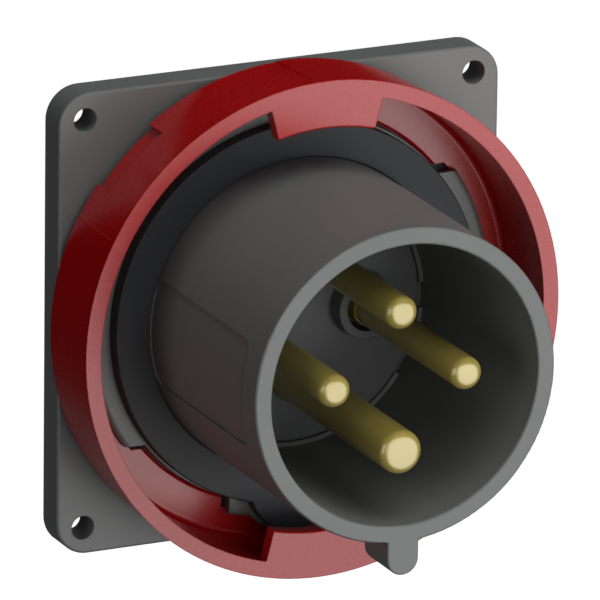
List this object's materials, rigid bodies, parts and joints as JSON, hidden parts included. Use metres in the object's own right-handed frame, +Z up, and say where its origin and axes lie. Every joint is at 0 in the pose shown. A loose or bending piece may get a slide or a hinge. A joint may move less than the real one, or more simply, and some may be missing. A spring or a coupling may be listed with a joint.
{
  "type": "panel-mounting power inlet",
  "caption": "Square-flanged power inlet with a round keyed shroud, brass contact pins, a turning bayonet locking ring and a rubber face seal.",
  "frame": {"origin": "centre of the four mounting holes on the flange's rear face, on the inlet's axis", "axes": "the wall plane is XZ, the pins point along -Y away from the wall, +Z is up and the key is at the bottom"},
  "size_m": [0.0924, 0.09, 0.0924],
  "materials": {
    "grey_polyamide": "fine matt moulded",
    "red_polyamide": "satin moulded",
    "black_rubber": "matt",
    "carrier_polyamide": "matt moulded",
    "insulator_polyamide": "matt moulded",
    "brass": "turned",
    "plated_steel": "zinc plated"
  },
  "bodies": {
    "housing": {"inlet_housing": "grey_polyamide", "face_gasket": "black_rubber", "flange_seal": "black_rubber", "contact_carrier": "carrier_polyamide", "carrier_seal": "black_rubber", "rear_insulator": "insulator_polyamide", "phase_pin_1": "brass", "phase_pin_2": "brass", "phase_pin_3": "brass", "earth_pin": "brass", "phase_pin_seal_1": "black_rubber", "phase_pin_seal_2": "black_rubber", "phase_pin_seal_3": "black_rubber", "earth_pin_seal": "black_rubber", "phase_terminal_screw_1": "plated_steel", "phase_terminal_screw_2": "plated_steel", "phase_terminal_screw_3": "plated_steel", "earth_terminal_screw": "plated_steel", "fixing_screw_1": "plated_steel", "fixing_screw_2": "plated_steel", "fixing_screw_3": "plated_steel", "fixing_screw_4": "plated_steel"},
    "ring": {"locking_ring": "red_polyamide"}
  },
  "joints": [
    {"name": "ring_turn", "type": "hinge", "parent": "housing", "child": "ring", "pos_m": [0, -0.0168, 0], "axis": [0, 1, 0], "range_deg": [0, 45]}
  ]
}
